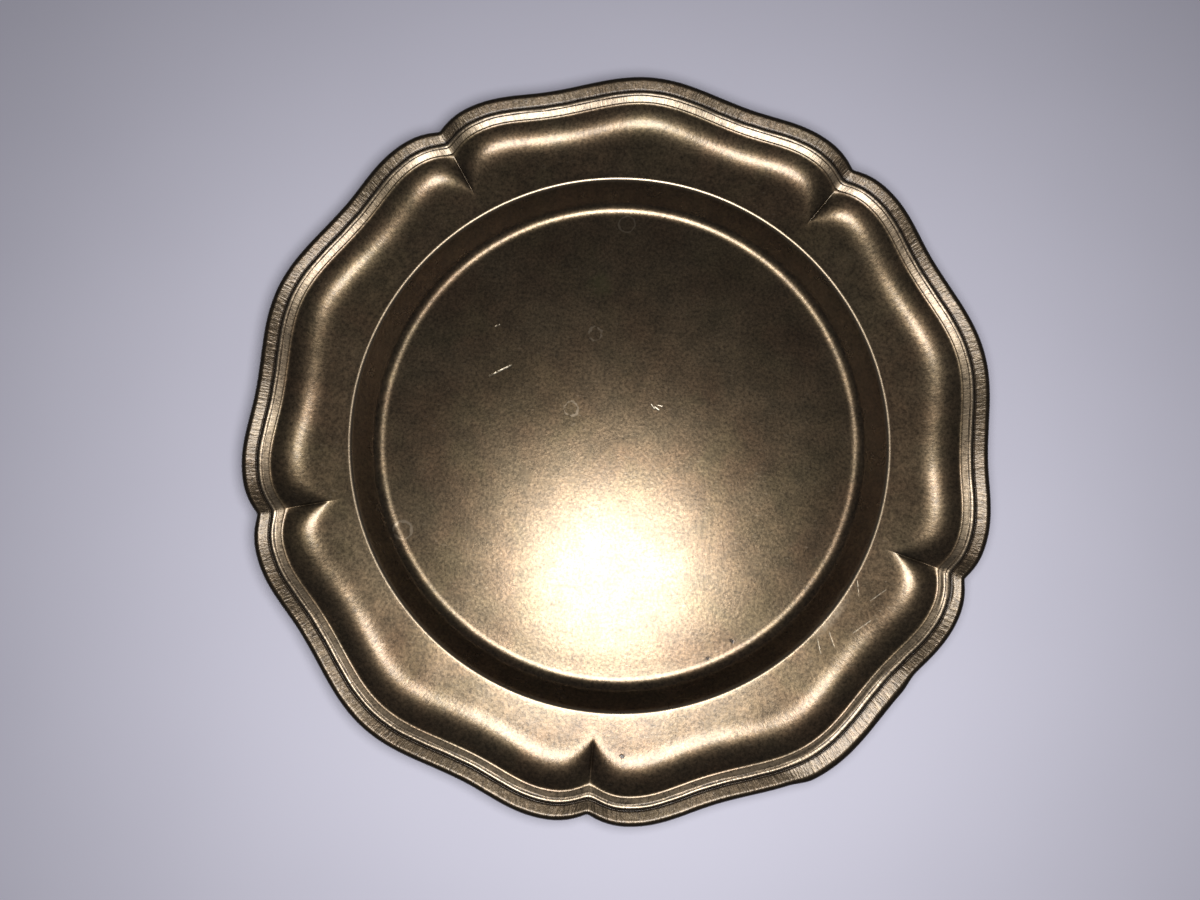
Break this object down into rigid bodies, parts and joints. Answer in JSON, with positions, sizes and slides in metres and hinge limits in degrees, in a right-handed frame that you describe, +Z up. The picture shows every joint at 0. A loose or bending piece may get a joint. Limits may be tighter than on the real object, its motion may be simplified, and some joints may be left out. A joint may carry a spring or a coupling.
{
  "type": "paten plate",
  "caption": "Shallow lobed plate with a round flat-floored well, a sloping flange and a reeded border along its scalloped rim.",
  "frame": {"origin": "centre of the flat underside of the floor, on the plate's axis", "axes": "+Z up along the plate's axis, out of the dish; one notch of the rim points along -Y and the middle of a lobe along +Y"},
  "size_m": [0.2362, 0.239, 0.0192],
  "materials": {
    "sheet_brass": "satin, tarnished brown, fine speckled grain with scratches and faint ring stains",
    "border_brass": "satin, tarnished in the grooves and rubbed bright on the reeds, fine marks across the bands",
    "solder": "dull hard solder"
  },
  "bodies": {
    "root": {"plate_body": "sheet_brass", "border_1": "border_brass", "border_2": "border_brass", "border_3": "border_brass", "border_4": "border_brass", "border_5": "border_brass", "solder_seam": "solder"}
  },
  "joints": []
}
